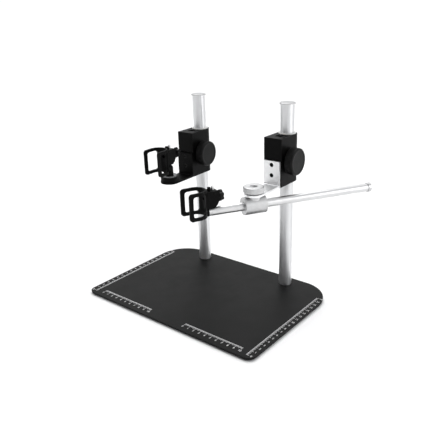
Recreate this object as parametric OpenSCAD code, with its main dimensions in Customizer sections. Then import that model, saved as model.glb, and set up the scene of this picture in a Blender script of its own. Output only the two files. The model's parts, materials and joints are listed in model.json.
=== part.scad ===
// Twin-pole bench stand: a flat base plate with two upright poles. A carriage
// rides on each pole. The left carriage carries a barrel clip on a swivel post,
// the right one carries a cross rod with a second barrel clip on its end.
// Millimetres, +Z up. The origin is the centre of the underside of the base.

/* [Base] */
// Width of the base plate
plate_w = 318; // [300:1:360]
// Depth of the base plate
plate_d = 221; // [210:1:260]
// Thickness of the base plate
plate_t = 3; // [3:0.5:6]
// Corner radius at the front of the plate
front_r = 11; // [4:1:20]
// Corner radius at the rear of the plate
rear_r = 50; // [20:1:60]
// Thickness of the rubber mat under the plate
mat_t = 2; // [1.5:0.5:4]

/* [Poles] */
// Diameter of each pole
pole_d = 20; // [18:0.5:21]
// Height of the top of the poles above the bench, without the cap flange
pole_top = 289; // [289:1:340]
// X position of the left pole
left_x = -86; // [-92:1:-80]
// X position of the right pole
right_x = 80.6; // [78:0.2:88]
// Y position of both poles
pole_y = 91.35; // [85:0.05:94]

/* [Carriages] */
// Width of the carriage block
block_w = 29; // [29:0.5:32]
// Distance from the pole axis to the front face of the block
block_front = 38.5; // [38:0.5:42]
// Height of the carriage block
block_h = 70; // [70:1:74]
// Height of the left block's underside above the bench
left_z = 166; // [150:1:200]
// Height of the right block's underside above the bench
right_z = 177; // [150:1:200]
// Angle at which the left carriage is turned about its pole
left_turn = 3; // [0:1:5]
// Angle at which the right carriage is turned about its pole
right_turn = 1.2; // [0:0.1:5]
// Diameter of the focus knob
knob_d = 39; // [34:1:44]

/* [Brackets] */
// Thickness of the bent brackets
bracket_t = 3; // [3:0.1:3.2]
// Height of the bracket's upright leg
bracket_h = 38; // [38:1:44]
// Distance from the pole axis to the left swivel post
left_reach = 81; // [78:1:90]
// Distance from the pole axis to the right clamp stud
right_reach = 86; // [84:1:92]

/* [Cross rod] */
// Diameter of the cross rod
rod_d = 12; // [10:0.5:12]
// Height of the rod's axis above the bench
rod_z = 163; // [162.5:0.5:163]
// Direction of the rod in plan, from +X towards +Y
rod_dir = 58.9; // [55:0.1:62]
// Angle in plan between the rod and the clip on its elbow
elbow_turn = 8.8; // [0:0.1:9]
// Length of rod on the elbow side of the clamp stud
rod_left = 62; // [60:0.5:90]
// Length of rod on the free side of the clamp stud
rod_right = 187; // [120:0.5:200]

/* [Barrel clips] */
// Inside radius of the clip, which is the radius of the barrel it holds
clip_ri = 12; // [11:0.5:12.5]
// Outside radius of the clip
clip_ro = 14.5; // [14:0.5:15]
// Height of the clip
clip_h = 38; // [36:1:40]
// Length of the straight arms in front of the barrel's axis
clip_arm = 16; // [14:1:18]

/* [Hidden] */

$fn = 72;
e = 0.05;                       // running clearance
plate_top = mat_t + plate_t;
pole_r = pole_d / 2;
bush_r = pole_r + 2;            // outside radius of the pole bushes
wheel_r = 7;                    // radius of the friction drive wheel
shaft_r = 3;
drive_y = -(pole_r + wheel_r + e);
half_w = block_w / 2;
face_y = -block_front;
leg_y = -block_front - bracket_t;
screw_z = [17, 32.2];
rod_r = rod_d / 2;
stud_xy = [right_x + right_reach * sin(right_turn), pole_y - right_reach * cos(right_turn)];
axis_w = -15;                   // height of a clip's mounting axis from its middle
seat_u = -17;                   // where a clip's mounting boss ends, behind the barrel axis
pivot_u = -23;                  // centre of the post's or elbow's round head, behind the barrel axis
screw_w = 5.5;                  // height of the thumbscrew from the clip's middle
disc_top = 9.6;                 // top of the swivel post's foot

// ---- frames ----
module left_frame()  translate([left_x, pole_y, left_z])  rotate([0, 0, left_turn]) children();
module right_frame() translate([right_x, pole_y, right_z]) rotate([0, 0, right_turn]) children();
// +X along the rod, towards its free end; Z = 0 on the rod's axis
module rod_frame() translate([stud_xy[0], stud_xy[1], rod_z]) rotate([0, 0, rod_dir]) children();
// Clip frames: +X towards the clip's mouth, origin at the middle of the barrel
module left_clip_frame() left_frame()
  translate([0, -left_reach + pivot_u, 38]) rotate([0, 0, -90]) children();
module elbow_frame() rod_frame()
  translate([-rod_left, 0, 0]) rotate([0, 0, 180 + elbow_turn]) children();
module right_clip_frame() elbow_frame() translate([-pivot_u, 0, -axis_w]) children();

module along_x(x0, x1, r, y = 0, z = 0)
  translate([x0, y, z]) rotate([0, 90, 0]) cylinder(r = r, h = x1 - x0);
module along_y(y0, y1, r, x = 0, z = 0)
  translate([x, y0, z]) rotate([-90, 0, 0]) cylinder(r = r, h = y1 - y0);
module along_z(z0, z1, r, x = 0, y = 0)
  translate([x, y, z0]) cylinder(r = r, h = z1 - z0);

// ---- base ----
module corner_cut(x, y, r, sx, sy) translate([x - sx * r, y - sy * r]) difference() {
  translate([sx > 0 ? 0 : -r - 1, sy > 0 ? 0 : -r - 1]) square([r + 1, r + 1]);
  circle(r = r, $fn = 120);
}
module plate_outline(inset) {
  w = plate_w / 2 - inset;
  d = plate_d / 2 - inset;
  difference() {
    translate([-w, -d]) square([2 * w, 2 * d]);
    corner_cut(-w, -d, front_r - inset, -1, -1);
    corner_cut( w, -d, front_r - inset,  1, -1);
    corner_cut(-w,  d, rear_r - inset, -1, 1);
    corner_cut( w,  d, rear_r - inset,  1, 1);
  }
}
module base_plate() color([0.16, 0.16, 0.17]) difference() {
  translate([0, 0, mat_t]) linear_extrude(plate_t) plate_outline(0);
  for (x = [left_x, right_x]) translate([x, pole_y, mat_t]) {
    translate([0, 0, -1]) cylinder(r = 3 + e, h = plate_t + 2);
    cylinder(r1 = 6 + e, r2 = 3 + e, h = 3);
  }
}
module rubber_mat() color([0.07, 0.07, 0.07]) difference() {
  linear_extrude(mat_t) plate_outline(4);
  for (x = [left_x, right_x]) translate([x, pole_y, -1]) cylinder(r = 7.5, h = mat_t + 2);
}
module pole(x) color([0.78, 0.79, 0.8]) translate([x, pole_y, 0]) difference() {
  along_z(plate_top, pole_top, pole_r);
  along_z(plate_top - 1, plate_top + 26, 3 + e);
  along_z(pole_top - 9, pole_top + 1, 6 + e);
}
module left_pole() pole(left_x);
module right_pole() pole(right_x);
module pole_caps() color([0.85, 0.86, 0.87])
  for (x = [left_x, right_x]) translate([x, pole_y, 0]) {
    along_z(pole_top - 8, pole_top, 6);
    along_z(pole_top, pole_top + 1.2, pole_r + 1.5);
    translate([0, 0, pole_top + 1.2]) cylinder(r1 = pole_r + 1.5, r2 = pole_r + 0.7, h = 0.8);
  }
module pole_screws() color([0.55, 0.55, 0.57])
  for (x = [left_x, right_x]) translate([x, pole_y, 0]) difference() {
    union() {
      translate([0, 0, mat_t]) cylinder(r1 = 6, r2 = 3, h = 3);
      along_z(mat_t + 3, plate_top + 24, 3);
    }
    translate([0, 0, mat_t - 1]) cylinder(r = 2.3, h = 3, $fn = 6);
  }

// ---- carriage, in its own frame: pole axis at X = Y = 0, underside at Z = 0 ----
module block() color([0.1, 0.1, 0.105]) difference() {
  union() {
    along_z(0, block_h, half_w);
    translate([-half_w, face_y, 0]) cube([block_w, block_front, block_h]);
  }
  along_z(-1, block_h + 1, bush_r + e);
  // pocket for the drive wheel, open to the pole, and the slot it is fitted through
  translate([-5, drive_y - wheel_r - 2, block_h / 2 - 9]) cube([10, 17, 18]);
  translate([-5, drive_y - wheel_r - 2, block_h / 2]) cube([10, 8, block_h]);
  along_x(-half_w - 1, half_w + 1, shaft_r + 0.4, drive_y, block_h / 2);
  along_x(-half_w - 1, -half_w + 6, 4.5, drive_y, block_h / 2);
  along_x(half_w - 6, half_w + 1, 4.5, drive_y, block_h / 2);
  for (z = screw_z) along_y(face_y - 1, face_y + 9.5, 2, 0, z);
  along_y(10, half_w + 1, 2.5, 0, block_h / 2);
}
module bush(z0, z1, f0, f1) color([0.9, 0.9, 0.88]) difference() {
  union() { along_z(z0, z1, bush_r); along_z(f0, f1, bush_r + 1); }
  along_z(-5, block_h + 5, pole_r + e);
}
module upper_bush() bush(block_h - 18, block_h + 1.5, block_h, block_h + 1.5);
module lower_bush() bush(-1.5, 18, -1.5, 0);
module drive_shaft() color([0.7, 0.7, 0.72])
  along_x(-half_w - 2.3, half_w + 13.5, shaft_r, drive_y, block_h / 2);
module drive_wheel() color([0.72, 0.62, 0.35]) difference() {
  along_x(-4, 4, wheel_r - 1.5, drive_y, block_h / 2);
  along_x(-5, 5, shaft_r, drive_y, block_h / 2);
}
module wheel_tyre() color([0.06, 0.06, 0.06]) difference() {
  along_x(-4, 4, wheel_r, drive_y, block_h / 2);
  along_x(-5, 5, wheel_r - 1.5, drive_y, block_h / 2);
}
module shaft_bushes() color([0.75, 0.6, 0.35])
  for (s = [-1, 1]) difference() {
    along_x(s > 0 ? half_w - 6 : -half_w, s > 0 ? half_w : -half_w + 6, 4.5, drive_y, block_h / 2);
    along_x(-half_w - 1, half_w + 1, shaft_r + e, drive_y, block_h / 2);
  }
module shaft_clip() color([0.3, 0.3, 0.32]) difference() {
  along_x(-half_w - 1.4, -half_w - 0.5, 4.8, drive_y, block_h / 2);
  along_x(-half_w - 2, -half_w, shaft_r, drive_y, block_h / 2);
}
knob_x = half_w + 2.5;          // inner face of the focus knob
module focus_knob() color([0.13, 0.13, 0.13])
  translate([0, drive_y, block_h / 2]) rotate([0, 90, 0]) difference() {
    rotate_extrude($fn = 96) polygon([[0, half_w + 0.6], [8, half_w + 0.6], [8, knob_x],
      [knob_d / 2 - 1, knob_x], [knob_d / 2, knob_x + 1], [knob_d / 2, knob_x + 12],
      [knob_d / 2 - 1, knob_x + 13], [0, knob_x + 13]]);
    translate([0, 0, half_w]) cylinder(r = shaft_r, h = 13.5);
    translate([0, 0, knob_x + 5]) rotate([0, 90, 0]) cylinder(r = 2, h = knob_d);
  }
module knob_grub_screw() color([0.2, 0.2, 0.21])
  translate([0, drive_y, block_h / 2]) rotate([0, 90, 0])
    translate([0, 0, knob_x + 5]) rotate([0, 90, 0]) difference() {
      translate([0, 0, shaft_r + 0.1]) cylinder(r = 2, h = 7);
      translate([0, 0, shaft_r + 5]) cylinder(r = 1.15, h = 5, $fn = 6);
    }
module tension_screw() color([0.2, 0.2, 0.21]) difference() {
  along_y(12.3, half_w + 1, 2.5, 0, block_h / 2);
  translate([0, half_w - 1, block_h / 2]) rotate([-90, 0, 0]) cylinder(r = 1.4, h = 4, $fn = 6);
}
module brake_pad() color([0.85, 0.84, 0.78]) difference() {
  along_y(8, 12.3, 2.4, 0, block_h / 2);
  along_z(0, block_h, pole_r + e);
}

// ---- bent bracket on the front of a carriage ----
module bracket(reach, hole_r, hw) difference() {
  union() {
    translate([-hw, leg_y, 0]) cube([2 * hw, bracket_t, bracket_h]);
    translate([-hw, -reach, 0]) cube([2 * hw, reach - block_front, bracket_t]);
    translate([0, -reach, 0]) cylinder(r = hw, h = bracket_t);
    translate([-hw, leg_y, bracket_t]) difference() {
      translate([0, -2, 0]) cube([2 * hw, 2, 2]);
      along_x(-1, 2 * hw + 1, 2, -2, 2);
    }
  }
  translate([0, -reach, -1]) cylinder(r = hole_r, h = bracket_t + 2);
  for (z = screw_z) {
    along_y(leg_y - 1, face_y + 1, 2 + e, 0, z);
    along_y(leg_y - 1, leg_y + 1.8, 3 + e, 0, z);
  }
}
module bracket_screws() color([0.12, 0.12, 0.13])
  for (z = screw_z) difference() {
    union() {
      along_y(leg_y + 0.2, leg_y + 1.8, 3, 0, z);
      along_y(leg_y + 1.8, face_y + 9, 2, 0, z);
    }
    translate([0, leg_y, z]) rotate([-90, 0, 0]) cylinder(r = 1.5, h = 1.4, $fn = 6);
  }

// ---- left swivel post ----
post_axis = 38 + axis_w;        // height of the clip's mounting axis over the block's underside
module swivel_washer() color([0.88, 0.88, 0.86]) translate([0, -left_reach, 0]) difference() {
  along_z(bracket_t, bracket_t + 0.8, 8);
  along_z(bracket_t - 1, bracket_t + 2, 2.6);
}
module swivel_post() color([0.1, 0.1, 0.105]) translate([0, -left_reach, 0]) difference() {
  union() {
    along_z(bracket_t + 0.8, disc_top, 14);
    along_z(bracket_t + 0.8, post_axis, 6);
    translate([0, 0, post_axis]) sphere(r = 6);
    along_y(pivot_u - seat_u + e, 0, 6, 0, post_axis);
  }
  along_z(0, 16.5, 2.5);
  along_y(-20, -2.5, 2.5, 0, post_axis);
}
module post_ring() color([0.7, 0.7, 0.72]) translate([0, -left_reach, 0]) difference() {
  along_z(disc_top, disc_top + 2.4, 11.5);
  along_z(disc_top - 1, disc_top + 4, 6 + e);
}
module post_screw() color([0.2, 0.2, 0.21]) translate([0, -left_reach, 0]) difference() {
  union() { along_z(-2.8, 0, 4.25); along_z(0, 16, 2.5); }
  translate([0, 0, -3.8]) cylinder(r = 1.7, h = 2.6, $fn = 6);
}

// ---- barrel clip, in its own frame ----
module round_rect(x0, x1, z0, z1, r) {
  translate([x0 + r, z0]) square([x1 - x0 - 2 * r, z1 - z0]);
  translate([x0, z0 + r]) square([x1 - x0, z1 - z0 - 2 * r]);
  for (x = [x0 + r, x1 - r], z = [z0 + r, z1 - r]) translate([x, z]) circle(r = r, $fn = 32);
}
module side_extrude(w) translate([0, w / 2, 0]) rotate([90, 0, 0]) linear_extrude(w) children();
module barrel_clip() color([0.09, 0.09, 0.09]) difference() {
  union() {
    // U-shaped cradle with rounded arm ends
    intersection() {
      translate([0, 0, -clip_h / 2]) linear_extrude(clip_h) {
        circle(r = clip_ro, $fn = 96);
        translate([0, -clip_ro]) square([clip_arm, 2 * clip_ro]);
      }
      side_extrude(60) round_rect(-40, clip_arm, -clip_h / 2, clip_h / 2, 4.5);
    }
    // body behind the cradle that carries the thumbscrew
    side_extrude(15) difference() {
      polygon([[-11, 15], [-30, 15], [-32, 13], [-32, 1.5], [-28.5, -4.7], [-24.5, axis_w + 6.8], [-11, axis_w + 6.8]]);
      translate([-32, 13]) difference() { square([2, 2]); translate([2, 0]) circle(r = 2, $fn = 32); }
    }
    // mounting boss and the web that joins it to the body
    along_x(seat_u, -12.6, 6, 0, axis_w);
    translate([seat_u, -5, axis_w]) cube([-12.6 - seat_u, 10, 7]);
    // stop lug on top
    along_z(14, clip_h / 2 + 0.5, 2.5, -20, 0);
  }
  along_z(-clip_h, clip_h, clip_ri);
  translate([0, -clip_ri, -clip_h]) cube([30, 2 * clip_ri, 2 * clip_h]);
  side_extrude(60) round_rect(-9.5, clip_arm - 5.8, -clip_h / 2 + 4.5, clip_h / 2 - 4.5, 3.5);
  along_x(-40, -5, 2.5 + e, 0, screw_w);
  along_x(seat_u - 1, -13.7, 2.5 + e, 0, axis_w);
  along_z(9.5, 16, 2.1, -25.7, 0);
}
module clip_pin() color([0.75, 0.75, 0.77]) along_z(9.5, clip_h / 2 + 1.5, 2.1, -25.7, 0);
// out is how far the thumbscrew is unscrewed
module thumbscrew_knob(out) color([0.07, 0.07, 0.07]) difference() {
  union() {
    along_x(-39.5 - out, -33 - out, 6.7, 0, screw_w);
    for (i = [0:5])
      along_x(-39.5 - out, -33 - out, 2.2, 6 * cos(60 * i + 30), screw_w + 6 * sin(60 * i + 30));
    along_x(-33 - out, -32.3 - out, 4.2, 0, screw_w);
  }
  along_x(-38.5 - out, -20, 2.5, 0, screw_w);
}
module thumbscrew_stem(out) color([0.3, 0.3, 0.31]) along_x(-38.5 - out, -clip_ri - 0.8 - out, 2.5, 0, screw_w);
module clip_stud() color([0.7, 0.7, 0.72]) along_x(pivot_u + 2.5, -13.8, 2.5, 0, axis_w);

// ---- right cross clamp and rod ----
neck_top = right_z - rod_z - 1;
knob_z0 = bracket_t + 1.2;
clamp_knob_h = 9;
module clamp_washer_shape() color([0.75, 0.75, 0.76]) difference() {
  along_z(bracket_t, knob_z0, 10);
  along_z(0, 10, 4 + e);
}
module clamp_knob_shape() color([0.8, 0.8, 0.8]) difference() {
  rotate_extrude($fn = 96) polygon([[0, knob_z0], [13.7, knob_z0], [14.7, knob_z0 + 1],
    [14.7, knob_z0 + clamp_knob_h - 1], [13.7, knob_z0 + clamp_knob_h], [0, knob_z0 + clamp_knob_h]]);
  along_z(0, 20, 4);
  along_z(knob_z0 + clamp_knob_h - 1.8, 20, 5);
}
module clamp_stud_shape() color([0.66, 0.66, 0.68]) difference() {
  along_z(rod_z + rod_r + 0.1 - right_z, knob_z0 + clamp_knob_h - 1.8, 4);
  translate([0, 0, knob_z0 + clamp_knob_h - 4.8]) cylinder(r = 2.3, h = 4, $fn = 6);
}
module cross_clamp_body() rod_frame() color([0.84, 0.84, 0.84]) difference() {
  union() { along_x(-16, 16, 12.5); along_z(0, neck_top, 9.5); }
  along_x(-17, 17, rod_r + e);
  along_z(0, 20, 4 + e);
}
module clamp_thrust_washer() rod_frame() color([0.9, 0.9, 0.88]) difference() {
  along_z(neck_top, neck_top + 1, 9);
  along_z(0, 20, 4 + e);
}
module cross_rod() rod_frame() color([0.86, 0.86, 0.86]) difference() {
  along_x(-rod_left, rod_right - 2, rod_r);
  along_x(-rod_left - 1, -rod_left + 9.5, 2.5);
}
// round elbow pinned into the rod's end; the clip turns on the stud in its nose
module rod_elbow() color([0.82, 0.82, 0.82]) union() {
  difference() {
    union() {
      difference() {
        elbow_frame() sphere(r = 6);
        rod_frame() translate([-rod_left, -10, -10]) cube([10, 20, 20]);
      }
      elbow_frame() along_x(1.5, seat_u - pivot_u - e, 5.8);
    }
    elbow_frame() along_x(2.5, 12, 2.5);
  }
  rod_frame() along_x(-rod_left - 1, -rod_left + 9, 2.5);
}
module rod_end_cap() rod_frame() color([0.75, 0.75, 0.76]) difference() {
  along_x(rod_right - 5, rod_right, rod_r + 0.9);
  along_x(rod_right - 6, rod_right - 2, rod_r);
}

// ---- placed sub-parts ----
module left_carriage_block() left_frame() block();
module left_upper_bush() left_frame() upper_bush();
module left_lower_bush() left_frame() lower_bush();
module left_drive_shaft() left_frame() drive_shaft();
module left_drive_wheel() left_frame() drive_wheel();
module left_wheel_tyre() left_frame() wheel_tyre();
module left_shaft_bushes() left_frame() shaft_bushes();
module left_shaft_clip() left_frame() shaft_clip();
module left_focus_knob() left_frame() focus_knob();
module left_knob_grub_screw() left_frame() knob_grub_screw();
module left_tension_screw() left_frame() tension_screw();
module left_brake_pad() left_frame() brake_pad();
module left_bracket() left_frame() color([0.1, 0.1, 0.105]) bracket(left_reach, 2.6, half_w);
module left_bracket_screws() left_frame() bracket_screws();
module left_swivel_washer() left_frame() swivel_washer();
module left_swivel_post() left_frame() swivel_post();
module left_post_ring() left_frame() post_ring();
module left_post_screw() left_frame() post_screw();
module left_clip_stud() left_clip_frame() clip_stud();
module left_barrel_clip() left_clip_frame() barrel_clip();
module left_clip_pin() left_clip_frame() clip_pin();
module left_thumbscrew_knob() left_clip_frame() thumbscrew_knob(5);
module left_thumbscrew_stem() left_clip_frame() thumbscrew_stem(5);
module right_carriage_block() right_frame() block();
module right_upper_bush() right_frame() upper_bush();
module right_lower_bush() right_frame() lower_bush();
module right_drive_shaft() right_frame() drive_shaft();
module right_drive_wheel() right_frame() drive_wheel();
module right_wheel_tyre() right_frame() wheel_tyre();
module right_shaft_bushes() right_frame() shaft_bushes();
module right_shaft_clip() right_frame() shaft_clip();
module right_focus_knob() right_frame() focus_knob();
module right_knob_grub_screw() right_frame() knob_grub_screw();
module right_tension_screw() right_frame() tension_screw();
module right_brake_pad() right_frame() brake_pad();
module right_bracket() right_frame() color([0.84, 0.85, 0.86]) bracket(right_reach, 4.1, half_w - 1.3);
module right_bracket_screws() right_frame() bracket_screws();
module clamp_washer() right_frame() translate([0, -right_reach, 0]) clamp_washer_shape();
module clamp_knob() right_frame() translate([0, -right_reach, 0]) clamp_knob_shape();
module clamp_stud() right_frame() translate([0, -right_reach, 0]) clamp_stud_shape();
module right_clip_stud() right_clip_frame() clip_stud();
module right_barrel_clip() right_clip_frame() barrel_clip();
module right_clip_pin() right_clip_frame() clip_pin();
module right_thumbscrew_knob() right_clip_frame() thumbscrew_knob(0);
module right_thumbscrew_stem() right_clip_frame() thumbscrew_stem(0);

base_plate();
rubber_mat();
left_pole();
right_pole();
pole_caps();
pole_screws();
left_carriage_block();
left_upper_bush();
left_lower_bush();
left_drive_shaft();
left_drive_wheel();
left_wheel_tyre();
left_shaft_bushes();
left_shaft_clip();
left_focus_knob();
left_knob_grub_screw();
left_tension_screw();
left_brake_pad();
left_bracket();
left_bracket_screws();
left_swivel_washer();
left_swivel_post();
left_post_ring();
left_post_screw();
left_clip_stud();
left_barrel_clip();
left_clip_pin();
left_thumbscrew_knob();
left_thumbscrew_stem();
right_carriage_block();
right_upper_bush();
right_lower_bush();
right_drive_shaft();
right_drive_wheel();
right_wheel_tyre();
right_shaft_bushes();
right_shaft_clip();
right_focus_knob();
right_knob_grub_screw();
right_tension_screw();
right_brake_pad();
right_bracket();
right_bracket_screws();
clamp_washer();
clamp_knob();
clamp_stud();
clamp_thrust_washer();
cross_clamp_body();
cross_rod();
rod_end_cap();
rod_elbow();
right_clip_stud();
right_barrel_clip();
right_clip_pin();
right_thumbscrew_knob();
right_thumbscrew_stem();
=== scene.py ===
import bpy
import bmesh
import json
import math
from mathutils import Matrix, Vector


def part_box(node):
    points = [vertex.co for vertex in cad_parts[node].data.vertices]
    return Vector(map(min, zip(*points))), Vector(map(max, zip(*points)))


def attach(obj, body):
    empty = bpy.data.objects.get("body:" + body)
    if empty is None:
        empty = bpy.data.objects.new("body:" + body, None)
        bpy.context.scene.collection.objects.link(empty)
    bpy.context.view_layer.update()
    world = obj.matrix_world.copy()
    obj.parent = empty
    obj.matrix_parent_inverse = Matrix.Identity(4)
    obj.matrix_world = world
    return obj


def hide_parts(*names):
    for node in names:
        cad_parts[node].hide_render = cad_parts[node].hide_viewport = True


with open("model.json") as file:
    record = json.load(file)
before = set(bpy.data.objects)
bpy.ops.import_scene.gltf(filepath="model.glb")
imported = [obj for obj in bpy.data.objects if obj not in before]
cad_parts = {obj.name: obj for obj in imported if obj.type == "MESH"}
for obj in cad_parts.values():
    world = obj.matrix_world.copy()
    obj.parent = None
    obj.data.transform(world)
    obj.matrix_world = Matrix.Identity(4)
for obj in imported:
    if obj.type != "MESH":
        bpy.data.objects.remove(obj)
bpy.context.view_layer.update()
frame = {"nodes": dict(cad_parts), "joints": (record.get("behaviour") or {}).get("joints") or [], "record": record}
sc = bpy.context.scene
NODES = frame["nodes"]
JOINTS = {j["name"]: j for j in frame["joints"]}
MOUNTS = {m["name"]: m for m in frame["record"]["mounts"]}
SLOT = {s["node"]: s["material_slot"] for s in frame["record"]["subparts"]}
BODY = {n: b for b, ns in frame["record"]["behaviour"]["bodies"].items() for n in ns}
MM = 0.001


def basis(origin, x):
    """Frame with +X along x and +Z up, at origin (metres)."""
    x = Vector(x).normalized()
    z = Vector((0, 0, 1))
    y = z.cross(x).normalized()
    m = Matrix((x, y, x.cross(y))).transposed().to_4x4()
    return Matrix.Translation(Vector(origin)) @ m


LEFT = basis(JOINTS["left_swing"]["pos_m"], JOINTS["left_focus_knob_turn"]["axis"])
RIGHT = basis(JOINTS["right_swing"]["pos_m"], JOINTS["right_focus_knob_turn"]["axis"])
ROD = basis(JOINTS["clamp_swivel"]["pos_m"], JOINTS["rod_slide"]["axis"])
LCLIP = basis(MOUNTS["left_clip_bore"]["pos_m"], JOINTS["left_clip_roll"]["axis"])
RCLIP = basis(MOUNTS["right_clip_bore"]["pos_m"], JOINTS["right_clip_roll"]["axis"])

# ------------------------------------------------------------------ camera
AZ, EL, ROLL = math.radians(39.18), math.radians(21.51), math.radians(-1.73)
back = Vector((math.sin(AZ) * math.cos(EL), -math.cos(AZ) * math.cos(EL), math.sin(EL)))
right = Vector((0, 0, 1)).cross(back).normalized()
up = back.cross(right)
cx = right * math.cos(ROLL) + up * math.sin(ROLL)
cy = up * math.cos(ROLL) - right * math.sin(ROLL)
cam_data = bpy.data.cameras.new("camera")
cam = bpy.data.objects.new("camera", cam_data)
sc.collection.objects.link(cam)
cam.matrix_world = Matrix.Translation((0.50955, -0.58872, 0.42585)) @ Matrix((cx, cy, back)).transposed().to_4x4()
cam_data.sensor_width = 36.0
cam_data.lens = 45.33
cam_data.clip_start = 0.01
cam_data.clip_end = 500
sc.camera = cam


# ------------------------------------------------------------------ materials
class Graph:
    """Small helper that adds and links shader nodes."""

    def __init__(self, mat):
        self.t = mat.node_tree
        self.t.nodes.clear()
        self.coord = self.add("ShaderNodeTexCoord").outputs["Object"]

    def add(self, kind, ins=None, **props):
        n = self.t.nodes.new(kind)
        for k, v in props.items():
            setattr(n, k, v)
        for k, v in (ins or {}).items():
            if isinstance(v, bpy.types.NodeSocket):
                self.t.links.new(v, n.inputs[k])
            else:
                n.inputs[k].default_value = v
        return n

    def stretch(self, rotation, lengths):
        """Coordinates turned to rotation, with one noise unit spanning lengths (metres)."""
        return self.add("ShaderNodeMapping", {"Vector": self.coord, "Rotation": rotation, "Scale": lengths},
                        vector_type="TEXTURE").outputs[0]

    def noise(self, vector, scale=1.0, detail=2.0, rough=0.5, distortion=0.0):
        return self.add("ShaderNodeTexNoise", {"Vector": vector, "Scale": scale, "Detail": detail,
                                                "Roughness": rough, "Distortion": distortion}).outputs["Fac"]

    def ramp(self, fac, lo, hi, a=0.0, b=1.0):
        return self.add("ShaderNodeMapRange", {"Value": fac, "From Min": lo, "From Max": hi,
                                                "To Min": a, "To Max": b}).outputs[0]

    def math(self, op, a, b=0.0):
        return self.add("ShaderNodeMath", {0: a, 1: b}, operation=op).outputs[0]

    def mix(self, fac, a, b):
        n = self.add("ShaderNodeMix", data_type="RGBA")
        for sock, v in ((n.inputs[0], fac), (n.inputs[6], a), (n.inputs[7], b)):
            if isinstance(v, bpy.types.NodeSocket):
                self.t.links.new(v, sock)
            else:
                sock.default_value = v
        return n.outputs[2]

    def edge(self, radius, gain):
        """1 on convex and concave edges, 0 on flat surface."""
        bev = self.add("ShaderNodeBevel", {"Radius": radius}, samples=4).outputs[0]
        nrm = self.add("ShaderNodeNewGeometry").outputs["Normal"]
        dot = self.add("ShaderNodeVectorMath", {0: bev, 1: nrm}, operation="DOT_PRODUCT").outputs["Value"]
        return self.ramp(dot, 1.0, 1.0 - 1.0 / gain)


def rgb(v, tint=(0, 0, 0)):
    return (v + tint[0], v + tint[1], v + tint[2], 1)


def finish(name, dark, light, metallic=0.0, rough=(0.4, 0.5), mottle=60.0, grain=4000.0, grain_depth=2e-5,
           streak=None, streak_depth=0.0, streak_tone=0.0, wear=None, wear_gain=3.0, wear_radius=0.0004,
           specular=0.5, scratches=0.0, coat=0.0, subsurface=0.0, turned=0.0):
    """One procedural finish: mottled colour, grain, drawn or brushed streaks, scratches and edge wear."""
    mat = bpy.data.materials.new(name)
    mat.use_nodes = True
    g = Graph(mat)
    blotch = g.noise(g.coord, mottle, 4, 0.6)
    fine = g.noise(g.coord, grain, 3, 0.6)
    tone = g.math("ADD", g.math("MULTIPLY", blotch, 0.65), g.math("MULTIPLY", fine, 0.35))
    colour = g.mix(g.ramp(tone, 0.35, 0.65), dark, light)
    height = fine
    rough_src = blotch
    bump_vec = None
    if streak:
        line = g.noise(g.stretch(*streak), 1.0, 3, 0.65)
        if streak_tone:
            colour = g.mix(g.ramp(line, 0.35, 0.65, 0.0, streak_tone), colour, rgb(0.02) if metallic < 0.5 else rgb(0.35))
        bump_vec = g.add("ShaderNodeBump", {"Strength": 1.0, "Distance": streak_depth, "Height": line}).outputs[0]
        rough_src = g.math("ADD", g.math("MULTIPLY", blotch, 0.5), g.math("MULTIPLY", line, 0.5))
    roughness = g.ramp(rough_src, 0.3, 0.7, rough[0], rough[1])
    if scratches:
        s1 = g.noise(g.stretch((0, 0, 0.5), (0.03, 0.0004, 0.0004)), 1.0, 1, 0.5, 0.3)
        s2 = g.noise(g.stretch((0.2, 0, -0.9), (0.02, 0.0003, 0.0003)), 1.0, 1, 0.5, 0.3)
        mark = g.math("MULTIPLY", g.math("MAXIMUM", g.ramp(s1, 0.71, 0.78), g.ramp(s2, 0.72, 0.79)), scratches)
        mark = g.math("MULTIPLY", mark, g.ramp(g.noise(g.coord, 22, 2), 0.45, 0.65))
        colour = g.mix(mark, colour, wear or light)
    if wear:
        edge = g.edge(wear_radius, wear_gain)
        edge = g.math("MULTIPLY", edge, g.ramp(g.noise(g.coord, 260, 4, 0.7), 0.38, 0.62))
        colour = g.mix(edge, colour, wear)
    args = {"Height": height, "Strength": 1.0, "Distance": grain_depth}
    if bump_vec is not None:
        args["Normal"] = bump_vec
    normal = g.add("ShaderNodeBump", args).outputs[0]
    ins = {"Base Color": colour, "Metallic": metallic, "Roughness": roughness, "Normal": normal,
           "Specular IOR Level": specular, "Coat Weight": coat}
    if subsurface:
        ins.update({"Subsurface Weight": subsurface, "Subsurface Radius": (0.0012, 0.0011, 0.0009), "Subsurface Scale": 1.0})
    if turned:
        ins["Anisotropic"] = turned
        ins["Anisotropic Rotation"] = 0.25
        ins["Tangent"] = g.add("ShaderNodeTangent", direction_type="RADIAL", axis="Z").outputs[0]
    bsdf = g.add("ShaderNodeBsdfPrincipled", ins)
    g.add("ShaderNodeOutputMaterial", {"Surface": bsdf.outputs[0]})
    return mat


ROD_ANGLE = math.atan2(JOINTS["rod_slide"]["axis"][1], JOINTS["rod_slide"]["axis"][0])
UPRIGHT = ((0, 0, 0), (0.00025, 0.00025, 0.03))
FLATWISE = ((0, 0, 0), (0.02, 0.00025, 0.00025))
ALONG_ROD = ((0, 0, ROD_ANGLE), (0.03, 0.00025, 0.00025))

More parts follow.
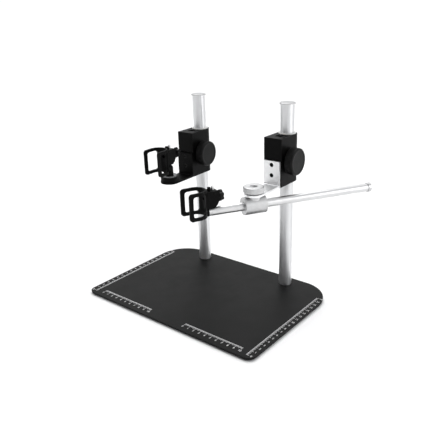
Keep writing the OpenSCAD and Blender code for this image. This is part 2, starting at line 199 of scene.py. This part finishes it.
MAT = {
    "charcoal_paint": finish("charcoal_paint", rgb(0.0050), rgb(0.0085, (0, 0.0003, 0)), rough=(0.42, 0.54), mottle=35,
                             grain=1500, grain_depth=1.6e-5, scratches=0.10, wear=rgb(0.05), wear_gain=2.5, specular=0.09),
    "mat_rubber": finish("mat_rubber", rgb(0.010), rgb(0.018), rough=(0.7, 0.85), mottle=90, grain=2200, grain_depth=6e-5,
                         specular=0.2),
    "satin_pole": finish("satin_pole", rgb(0.64, (0, 0.005, 0.014)), rgb(0.72, (0, 0.005, 0.012)), 1.0, (0.30, 0.36), 30, 5000, 1.2e-6,
                         streak=UPRIGHT, streak_depth=2e-7, streak_tone=0.05, scratches=0.05, turned=0.75),
    "bright_cap": finish("bright_cap", rgb(0.62), rgb(0.74), 1.0, (0.22, 0.32), 120, 7000, 3e-6, wear=rgb(0.95), wear_gain=2),
    "turned_cap": finish("turned_cap", rgb(0.50, (0, 0.002, 0.004)), rgb(0.60, (0, 0.002, 0.004)), 1.0, (0.26, 0.36), 120, 7000, 3e-6,
                         wear=rgb(0.75), wear_gain=2),
    "zinc_steel": finish("zinc_steel", rgb(0.45, (0, 0.004, 0.012)), rgb(0.62, (0, 0.004, 0.01)), 1.0, (0.25, 0.4), 300, 6000, 6e-6,
                         wear=rgb(0.8), wear_gain=2),
    "black_anodised": finish("black_anodised", rgb(0.0010), rgb(0.0020), rough=(0.38, 0.48), mottle=55, grain=6500, grain_depth=5e-6,
                             streak=UPRIGHT, streak_depth=1.0e-6, wear=rgb(0.05), wear_gain=2.2, wear_radius=0.0003, specular=0.07,
                             scratches=0.05),
    "dull_steel": finish("dull_steel", rgb(0.13, (0, 0.002, 0.006)), rgb(0.22, (0, 0.002, 0.005)), 1.0, (0.38, 0.5), 300, 6000, 8e-6,
                         wear=rgb(0.5), wear_gain=2),
    "white_nylon": finish("white_nylon", (0.66, 0.665, 0.65, 1), (0.76, 0.765, 0.75, 1), rough=(0.32, 0.45), mottle=120, grain=3000,
                          grain_depth=8e-6, subsurface=0.25),
    "bronze": finish("bronze", (0.42, 0.28, 0.10, 1), (0.62, 0.44, 0.18, 1), 1.0, (0.35, 0.5), 350, 6000, 2e-5),
    "tyre_rubber": finish("tyre_rubber", rgb(0.010), rgb(0.018), rough=(0.65, 0.8), mottle=200, grain=5000, grain_depth=3e-5,
                          specular=0.2),
    "black_steel": finish("black_steel", rgb(0.0025), rgb(0.005), 0.0, (0.34, 0.46), 400, 8000, 6e-6, wear=rgb(0.06), wear_gain=2.5,
                          wear_radius=0.0002, specular=0.12),
    "knob_plastic": finish("knob_plastic", rgb(0.0030), rgb(0.0055), rough=(0.42, 0.55), mottle=80, grain=3800, grain_depth=1.6e-5,
                           wear=rgb(0.025), wear_gain=2.5, wear_radius=0.0003, specular=0.14, scratches=0.06),
    "silver_bracket": finish("silver_bracket", rgb(0.86, (0, 0.004, 0.01)), rgb(0.94, (0, 0.003, 0.008)), 1.0, (0.36, 0.46), 90, 6500, 5e-6,
                             streak=FLATWISE, streak_depth=8e-7, streak_tone=0.06, wear=rgb(0.93), wear_gain=2, scratches=0.10),
    "blasted_silver": finish("blasted_silver", rgb(0.50, (0, 0.002, 0.006)), rgb(0.59, (0, 0.002, 0.004)), 1.0, (0.40, 0.50), 150, 5200, 1.2e-5,
                             wear=rgb(0.95), wear_gain=2),
    "silver_rod": finish("silver_rod", rgb(0.60, (0, 0.002, 0.006)), rgb(0.68, (0, 0.002, 0.004)), 1.0, (0.30, 0.38), 60, 6000, 2e-6,
                         streak=ALONG_ROD, streak_depth=4e-7, streak_tone=0.05, scratches=0.05),
    "clip_plastic": finish("clip_plastic", rgb(0.0012), rgb(0.0028), rough=(0.38, 0.5), mottle=110, grain=4200, grain_depth=1.2e-5,
                           wear=rgb(0.02), wear_gain=2.2, wear_radius=0.0003, specular=0.06),
    "ruler_ink": finish("ruler_ink", rgb(0.54), rgb(0.68), rough=(0.5, 0.6), mottle=500, grain=5000, grain_depth=1e-5),
}


# ------------------------------------------------------------------ mesh tools
def obj_from(bm, name, body, slot, matrix=None, material=None, sharp=32, weighted=True):
    """Turns a bmesh into a finished piece that rides on a body."""
    if matrix is not None:
        bmesh.ops.transform(bm, matrix=matrix, verts=bm.verts)
    bmesh.ops.recalc_face_normals(bm, faces=bm.faces)
    for f in bm.faces:
        f.smooth = True
    for e in bm.edges:
        e.smooth = not (len(e.link_faces) == 2 and e.calc_face_angle(0) > math.radians(sharp))
    me = bpy.data.meshes.new(name)
    bm.to_mesh(me)
    bm.free()
    me.materials.append(MAT[material or slot])
    ob = bpy.data.objects.new(name, me)
    sc.collection.objects.link(ob)
    if weighted:
        m = ob.modifiers.new("normals", "WEIGHTED_NORMAL")
        m.keep_sharp = True
        m.weight = 80
    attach(ob, body)
    return ob


def cad_bmesh(node):
    """The CAD node's mesh, welded, with its flat faces joined up."""
    bm = bmesh.new()
    bm.from_mesh(NODES[node].data)
    bmesh.ops.remove_doubles(bm, verts=bm.verts, dist=2e-6)
    bmesh.ops.dissolve_degenerate(bm, edges=bm.edges, dist=1e-6)
    bmesh.ops.dissolve_limit(bm, angle_limit=math.radians(0.4), verts=bm.verts, edges=bm.edges)
    return bm


def shell(node, width, segments=3, angle=30, material=None, sharp=40):
    """A copy of the CAD node with its edges rounded, which stands for the node."""
    bm = cad_bmesh(node)
    edges = [e for e in bm.edges if len(e.link_faces) == 2 and e.calc_face_angle(0) > math.radians(angle)]
    bmesh.ops.bevel(bm, geom=edges, offset=width * MM, offset_type="OFFSET", segments=segments, profile=0.5,
                    affect="EDGES", clamp_overlap=True, harden_normals=False)
    bmesh.ops.dissolve_degenerate(bm, edges=bm.edges, dist=1e-7)
    ob = obj_from(bm, node + "_shell", BODY[node], SLOT[node], material=material, sharp=sharp)
    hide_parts(node)
    return ob


def keep(node, material=None):
    """The CAD node stays and gets its finish."""
    ob = NODES[node]
    mat = MAT[material or SLOT[node]]
    if not ob.material_slots:
        ob.data.materials.append(mat)
    for s in ob.material_slots:
        s.material = mat
    return ob


def lathe(profile, segs, axis="X", knurl=None):
    """Closed solid turned about an axis. profile is [(radius, position)], in mm, from one end on the axis to the other.
    knurl is (teeth, depth, first row, last row): straight flutes on those rows."""
    bm = bmesh.new()
    rows = []
    for i, (r, x) in enumerate(profile):
        row = []
        for k in range(segs):
            a = 2 * math.pi * k / segs
            rr = r
            if knurl and knurl[2] <= i <= knurl[3]:
                t = (k * knurl[0] / segs) % 1.0
                rr -= knurl[1] * min(1.0, max(0.0, 1.6 * abs(2 * t - 1) - 0.3))
            c, s = rr * math.cos(a) * MM, rr * math.sin(a) * MM
            row.append(bm.verts.new((x * MM, c, s) if axis == "X" else (c, s, x * MM)))
        rows.append(row)
    for a, b in zip(rows, rows[1:]):
        for k in range(segs):
            j = (k + 1) % segs
            bm.faces.new((a[k], a[j], b[j], b[k]))
    bm.faces.new(rows[0])
    bm.faces.new(rows[-1])
    bmesh.ops.recalc_face_normals(bm, faces=bm.faces)
    return bm


def cylinder_bm(r, p0, p1, segs=48):
    """Closed cylinder between two points, in mm."""
    p0, p1 = Vector(p0) * MM, Vector(p1) * MM
    d = p1 - p0
    bm = bmesh.new()
    bmesh.ops.create_cone(bm, cap_ends=True, segments=segs, radius1=r * MM, radius2=r * MM, depth=d.length)
    bmesh.ops.transform(bm, matrix=Matrix.Translation((p0 + p1) / 2) @ d.to_track_quat("Z", "Y").to_matrix().to_4x4(), verts=bm.verts)
    return bm


def cut(bm, tools):
    """Takes the tool solids out of the solid."""
    def temp(b, name):
        me = bpy.data.meshes.new(name)
        b.to_mesh(me)
        b.free()
        o = bpy.data.objects.new(name, me)
        sc.collection.objects.link(o)
        return o
    base = temp(bm, "cut_base")
    tool_obs = [temp(t, "cut_tool") for t in tools]
    for t in tool_obs:
        m = base.modifiers.new("cut", "BOOLEAN")
        m.object = t
        m.operation = "DIFFERENCE"
        m.solver = "EXACT"
    dg = bpy.context.evaluated_depsgraph_get()
    out = bmesh.new()
    out.from_mesh(base.evaluated_get(dg).to_mesh())
    for o in tool_obs + [base]:
        me = o.data
        bpy.data.objects.remove(o)
        bpy.data.meshes.remove(me)
    bmesh.ops.remove_doubles(out, verts=out.verts, dist=1e-7)
    return out


def arc(cx_, cy_, r, a0, a1, n):
    """Points on an arc, angles in degrees."""
    return [(cx_ + r * math.cos(math.radians(a0 + (a1 - a0) * i / n)), cy_ + r * math.sin(math.radians(a0 + (a1 - a0) * i / n)))
            for i in range(n + 1)]


# ------------------------------------------------------------------ base
shell("base_plate", 0.5, 3)
shell("rubber_mat", 0.4, 2)
for n in ("left_pole", "right_pole"):
    keep(n)
shell("pole_caps", 0.25, 3, material="turned_cap")
keep("pole_screws")

PLATE_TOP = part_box("base_plate")[1].z
X0, X1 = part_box("base_plate")[0].x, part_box("base_plate")[1].x
Y0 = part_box("base_plate")[0].y
INK = 0.00005


def ink_rect(bm, x0, y0, x1, y1):
    vs = [bm.verts.new((x, y, z)) for z in (PLATE_TOP, PLATE_TOP + INK) for x, y in ((x0, y0), (x1, y0), (x1, y1), (x0, y1))]
    for q in ((3, 2, 1, 0), (4, 5, 6, 7), (0, 1, 5, 4), (1, 2, 6, 5), (2, 3, 7, 6), (3, 0, 4, 7)):
        bm.faces.new([vs[i] for i in q])


def numeral(bm, text, x, y, size, turn=0.0):
    cu = bpy.data.curves.new("digits", "FONT")
    cu.body = text
    cu.size = size
    cu.align_x = "CENTER"
    cu.align_y = "CENTER"
    cu.extrude = INK / 2
    cu.offset = size * 0.022
    cu.resolution_u = 6
    ob = bpy.data.objects.new("digits", cu)
    sc.collection.objects.link(ob)
    dg = bpy.context.evaluated_depsgraph_get()
    me = ob.evaluated_get(dg).to_mesh()
    part = bmesh.new()
    part.from_mesh(me)
    bmesh.ops.remove_doubles(part, verts=part.verts, dist=1e-7)
    bmesh.ops.transform(part, matrix=Matrix.Translation((x, y, PLATE_TOP + INK / 2)) @ Matrix.Rotation(turn, 4, "Z"), verts=part.verts)
    tmp = bpy.data.meshes.new("digits")
    part.to_mesh(tmp)
    part.free()
    bm.from_mesh(tmp)
    bpy.data.meshes.remove(tmp)
    bpy.data.objects.remove(ob)
    bpy.data.curves.remove(cu)


def ruler(name, count, along, start, line, out):
    """A centimetre ruler. along is 0 for X and 1 for Y, out is the side of the line that its marks lie on."""
    bm = bmesh.new()
    w, t = 0.00062, 0.00018

    def rect(a0, b0, a1, b1):
        lo = (min(a0, a1), min(b0, b1))
        hi = (max(a0, a1), max(b0, b1))
        if along == 0:
            ink_rect(bm, lo[0], lo[1], hi[0], hi[1])
        else:
            ink_rect(bm, lo[1], lo[0], hi[1], hi[0])

    rect(start - t, line - w * out, start + count * 0.01 + t, line)
    for i in range(count * 10 + 1):
        ln, h = (0.0042, 0.00024) if i % 10 == 0 else (0.0032, t) if i % 5 == 0 else (0.0023, 0.00015)
        a = start + i * 0.001
        rect(a - h, line, a + h, line + out * ln)
    for i in range(count + 1):
        a = start + i * 0.01
        b = line + out * 0.0071
        numeral(bm, str(i), *((a, b) if along == 0 else (b, a)), 0.0046)
    ob = obj_from(bm, name, "base", None, material="ruler_ink", weighted=False)
    return ob


ruler("ruler_front_left", 10, 0, -0.13325, -0.09485, -1)
ruler("ruler_front_right", 10, 0, 0.03490, -0.09485, -1)
ruler("ruler_side_left", 18, 1, -0.10365, -0.1473, -1)
ruler("ruler_side_right", 18, 1, -0.10365, 0.1473, 1)

# ------------------------------------------------------------------ carriages
DRIVE_Y = -17.05
for side, F in (("left", LEFT), ("right", RIGHT)):
    shell(side + "_carriage_block", 0.45, 3)
    shell(side + "_upper_bush", 0.25, 2)
    shell(side + "_lower_bush", 0.25, 2)
    for n in ("drive_wheel", "wheel_tyre", "shaft_bushes", "brake_pad"):
        keep(side + "_" + n)
    shell(side + "_drive_shaft", 0.35, 2)
    shell(side + "_shaft_clip", 0.12, 2)
    shell(side + "_knob_grub_screw", 0.15, 2)
    shell(side + "_tension_screw", 0.15, 2)
    shell(side + "_bracket", 0.45, 3)
    shell(side + "_bracket_screws", 0.2, 2)

    x = 17.0
    prof = [(7.6, 15.1), (8.0, 15.5), (8.0, x - 0.3), (8.3, x)] + [(17.6, x)]
    prof += [(17.6 + 1.9 * math.sin(math.radians(a)), x + 1.9 - 1.9 * math.cos(math.radians(a))) for a in (15, 30, 45, 60, 75)]
    k0 = len(prof)
    prof += [(19.5, x + 1.9), (19.5, x + 6.5), (19.5, x + 10.7)]
    k1 = len(prof) - 1
    prof += [(17.2 + 2.3 * math.cos(math.radians(a)), x + 10.7 + 2.3 * math.sin(math.radians(a))) for a in (12, 24, 36, 48, 60, 75, 90)]
    prof += [(16.2, x + 13.0), (15.7, x + 12.9), (15.2, x + 12.65), (14.6, x + 12.6), (6.0, x + 12.6), (1.0, x + 12.6)]
    knob = lathe(prof, 288, "X", (72, 0.45, k0, k1))
    knob = cut(knob, [cylinder_bm(3.0, (x - 3, 0, 0), (x + 11, 0, 0)), cylinder_bm(2.05, (x + 5, 0, 0), (x + 5, 0, -21))])
    ob = obj_from(knob, side + "_focus_knob_turned", BODY[side + "_focus_knob"], "knob_plastic",
                  F @ Matrix.Translation((0, DRIVE_Y * MM, 35 * MM)), sharp=38)
    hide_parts(side + "_focus_knob")

# ------------------------------------------------------------------ swivel post, clips
shell("left_swivel_washer", 0.15, 2)
shell("left_swivel_post", 0.4, 3)
shell("left_post_ring", 0.15, 2, material="dull_steel")
shell("left_post_screw", 0.3, 2)
for side, F, out in (("left", LCLIP, 5.0), ("right", RCLIP, 0.0)):
    g0 = -39.5 - out  # outer face of the thumbscrew
    keep(side + "_clip_stud")
    shell(side + "_barrel_clip", 0.45, 3, angle=30)
    shell(side + "_thumbscrew_stem", 0.3, 2)
    shell(side + "_clip_pin", 0.4, 3, material="bright_cap")
    # six-lobed grip with a crowned face
    bm = bmesh.new()
    rows = []
    stations = [(g0, 0.74), (g0 + 0.1, 0.82), (g0 + 0.5, 0.92), (g0 + 1.0, 0.97), (g0 + 1.7, 1.0), (g0 + 4.8, 1.0), (g0 + 5.6, 0.97),
                (g0 + 6.2, 0.90), (g0 + 6.5, 0.80)]
    segs = 144
    for u, k in stations:
        row = []
        for i in range(segs):
            a = 2 * math.pi * i / segs
            r = 7.25 + 0.95 * math.cos(6 * (a - math.radians(30)))
            r = (r - 0.35 * (1 - k) * 10 * 0.2) * (0.5 + 0.5 * k) if k < 1 else r
            row.append(bm.verts.new((u * MM, r * math.cos(a) * MM, r * math.sin(a) * MM)))
        rows.append(row)
    for u, r in ((g0 + 6.5, 4.5), (g0 + 6.6, 4.2), (g0 + 7.0, 4.2), (g0 + 7.2, 4.0)):
        rows.append([bm.verts.new((u * MM, r * math.cos(2 * math.pi * i / segs) * MM, r * math.sin(2 * math.pi * i / segs) * MM))
                     for i in range(segs)])
    for a, b in zip(rows, rows[1:]):
        for i in range(segs):
            j = (i + 1) % segs
            bm.faces.new((a[i], a[j], b[j], b[i]))
    # dished centre of the outer face
    inner = [[bm.verts.new((u * MM, r * math.cos(2 * math.pi * i / segs) * MM, r * math.sin(2 * math.pi * i / segs) * MM))
              for i in range(segs)] for u, r in ((g0, 4.0), (g0 + 0.25, 3.7), (g0 + 0.3, 0.8))]
    ring = [rows[0]] + inner
    for a, b in zip(ring, ring[1:]):
        for i in range(segs):
            j = (i + 1) % segs
            bm.faces.new((a[j], a[i], b[i], b[j]))
    bm.faces.new(inner[-1])
    bm.faces.new(rows[-1])
    bmesh.ops.recalc_face_normals(bm, faces=bm.faces)
    bm = cut(bm, [cylinder_bm(2.5, (g0 + 1.0, 0, 0), (g0 + 20, 0, 0))])
    ob = obj_from(bm, side + "_thumbscrew_grip", BODY[side + "_thumbscrew_knob"], "knob_plastic",
                  F @ Matrix.Translation((0, 0, 5.5 * MM)), sharp=38)
    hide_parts(side + "_thumbscrew_knob")

# ------------------------------------------------------------------ cross clamp and rod
shell("clamp_washer", 0.2, 2)
keep("clamp_stud")
shell("clamp_thrust_washer", 0.15, 2)
shell("cross_clamp_body", 0.5, 3)
keep("cross_rod")
shell("rod_end_cap", 0.4, 3, material="turned_cap")
shell("rod_elbow", 0.3, 2)
keep("right_clip_stud")

z0 = 4.2
prof = [(4.6, z0), (13.1, z0), (13.5, z0 + 0.15), (14.1, z0 + 0.8)]
prof += [(14.7, z0 + 1.4), (14.7, z0 + 4.5), (14.7, z0 + 7.5)]
k0, k1 = 4, 6
prof += [(14.2, z0 + 8.15), (13.7, z0 + 8.65), (13.2, z0 + 8.9), (12.6, z0 + 9.0)]
prof += [(5.6, z0 + 9.0), (5.2, z0 + 8.9), (5.0, z0 + 8.65), (5.0, z0 + 7.4), (4.85, z0 + 7.2), (4.5, z0 + 7.2)]
knob = lathe(prof, 288, "Z", (48, 0.42, k0, k1))
knob = cut(knob, [cylinder_bm(4.0, (0, 0, 0), (0, 0, 20))])
ob = obj_from(knob, "clamp_knob_turned", BODY["clamp_knob"], "blasted_silver", RIGHT @ Matrix.Translation((0, -86 * MM, 0)), sharp=38)
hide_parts("clamp_knob")

# ------------------------------------------------------------------ floor and light
bm = bmesh.new()
bmesh.ops.create_grid(bm, x_segments=60, y_segments=60, size=90)
for v in bm.verts:
    v.co.z = 0.16 * max(0.0, math.hypot(v.co.x, v.co.y) - 4.5)
for f in bm.faces:
    f.smooth = True
me = bpy.data.meshes.new("floor")
bm.to_mesh(me)
bm.free()
floor = bpy.data.objects.new("floor", me)
floor.location = (0, 0, -0.0002)
sc.collection.objects.link(floor)
fm = bpy.data.materials.new("floor_white")
fm.use_nodes = True
g = Graph(fm)
tone = g.ramp(g.noise(g.coord, 3.0, 3), 0.3, 0.7)
bsdf = g.add("ShaderNodeBsdfPrincipled", {"Base Color": g.mix(tone, rgb(0.90), rgb(0.92)), "Roughness": 0.9, "Specular IOR Level": 0.1})
g.add("ShaderNodeOutputMaterial", {"Surface": bsdf.outputs[0]})
me.materials.append(fm)

world = bpy.data.worlds.new("studio")
sc.world = world
world.use_nodes = True
wt = world.node_tree
wt.nodes.clear()
w = Graph.__new__(Graph)
w.t = wt
direction = w.add("ShaderNodeTexCoord").outputs["Generated"]
# white surround, dimmer low down, with a dark gap on the side that the stand is looked at from
dark_dir = Vector((math.sin(AZ - math.radians(7)), -math.cos(AZ - math.radians(7)), 0.0))
flat = w.add("ShaderNodeVectorMath", {0: w.add("ShaderNodeVectorMath", {0: direction, 1: (1, 1, 0)}, operation="MULTIPLY").outputs[0]},
             operation="NORMALIZE").outputs[0]
dot = w.add("ShaderNodeVectorMath", {0: flat, 1: tuple(dark_dir)}, operation="DOT_PRODUCT").outputs["Value"]
gap = w.add("ShaderNodeMapRange", {"Value": dot, "From Min": math.cos(math.radians(30)), "From Max": math.cos(math.radians(12)),
                                    "To Min": 1.0, "To Max": 0.03}, interpolation_type="SMOOTHSTEP").outputs[0]
sideways = w.add("ShaderNodeVectorMath", {0: flat, 1: tuple(right)}, operation="DOT_PRODUCT").outputs["Value"]
half = w.add("ShaderNodeMapRange", {"Value": sideways, "From Min": -0.45, "From Max": 0.15, "To Min": 0.22, "To Max": 1.0},
             interpolation_type="SMOOTHSTEP").outputs[0]
gap = w.math("MULTIPLY", gap, half)
sep = w.add("ShaderNodeSeparateXYZ", {0: direction}).outputs[2]
high = w.add("ShaderNodeMapRange", {"Value": sep, "From Min": 0.5, "From Max": 0.9, "To Min": 0.0, "To Max": 1.0}).outputs[0]
gap = w.math("MAXIMUM", gap, high)
bg = w.add("ShaderNodeBackground", {"Color": (0.985, 0.99, 1.0, 1), "Strength": w.math("MULTIPLY", gap, 0.85)})
w.add("ShaderNodeOutputWorld", {"Surface": bg.outputs[0]})

sun_data = bpy.data.lights.new("soft_sun", "SUN")
sun_data.energy = 2.0
sun_data.angle = math.radians(50)
sun = bpy.data.objects.new("soft_sun", sun_data)
sc.collection.objects.link(sun)
sun.rotation_euler = Vector((0.42, -0.30, -0.86)).to_track_quat("-Z", "Y").to_euler()


def area(name, pos, target, size, watts, colour=(1, 1, 1)):
    ld = bpy.data.lights.new(name, "AREA")
    ld.shape = "RECTANGLE"
    ld.size, ld.size_y = size
    ld.energy = watts
    ld.color = colour
    ob = bpy.data.objects.new(name, ld)
    sc.collection.objects.link(ob)
    ob.location = pos
    ob.rotation_euler = (Vector(target) - Vector(pos)).to_track_quat("-Z", "Y").to_euler()
    return ob


area("side_right", (1.3, 0.35, 0.6), (0, 0, 0.18), (0.8, 0.8), 4.5)

sc.view_settings.view_transform = "Standard"
sc.view_settings.look = "None"
sc.view_settings.exposure = 0.0
sc.view_settings.gamma = 1.0
